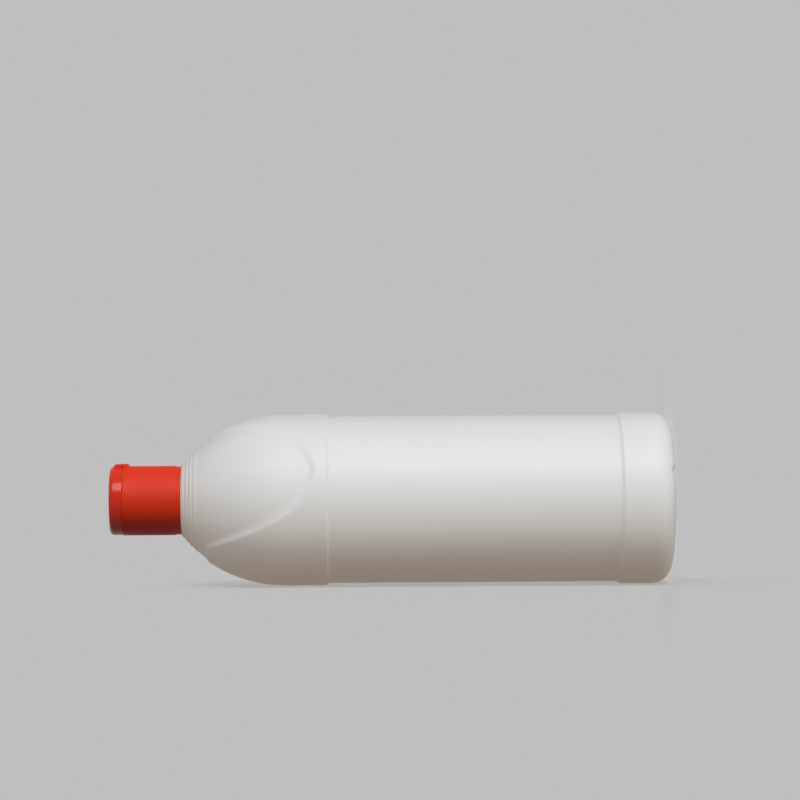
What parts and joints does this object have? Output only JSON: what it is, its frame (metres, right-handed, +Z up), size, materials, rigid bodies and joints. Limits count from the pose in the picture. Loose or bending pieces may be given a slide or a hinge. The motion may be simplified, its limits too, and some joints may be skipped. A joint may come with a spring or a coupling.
{
  "type": "bleach bottle",
  "caption": "Round blown plastic bottle with sunk label wall, domed shoulder with two sunk panels, ribbed screw cap and hinged flip lid.",
  "frame": {"origin": "centre of the base, on the surface that the bottle stands on", "axes": "+Z up the bottle to the lid; the two sunk shoulder panels face -Y and +Y, and the lid's hinge is 22 degrees from +X towards -Y"},
  "size_m": [0.082, 0.082, 0.2685],
  "materials": {
    "white_polyethylene": "satin white blown polyethylene",
    "foam_washer": "matt white foamed polyethylene",
    "red_polypropylene": "glossy orange-red moulded polypropylene"
  },
  "bodies": {
    "bottle": {"bottle": "white_polyethylene"},
    "washer": {"sealing_washer": "foam_washer"},
    "cap": {"screw_cap": "red_polypropylene"},
    "lid": {"flip_lid": "red_polypropylene"}
  },
  "joints": [
    {"name": "cap_lift", "type": "slide", "parent": "bottle", "child": "washer", "axis": [0, 0, 1], "range_m": [0, 0.006]},
    {"name": "cap_turn", "type": "hinge", "parent": "washer", "child": "cap", "pos_m": [0, 0, 0.26231], "axis": [0, 0, 1], "range_deg": [0, 540]},
    {"name": "lid_flip", "type": "hinge", "parent": "cap", "child": "lid", "pos_m": [0.01637, -0.00661, 0.26231], "axis": [0.3746, 0.9272, 0], "range_deg": [0, 160]}
  ],
  "couplings": [
    {"joint": "cap_lift", "follows": "cap_turn", "m_per_rad": 0.00063662}
  ]
}
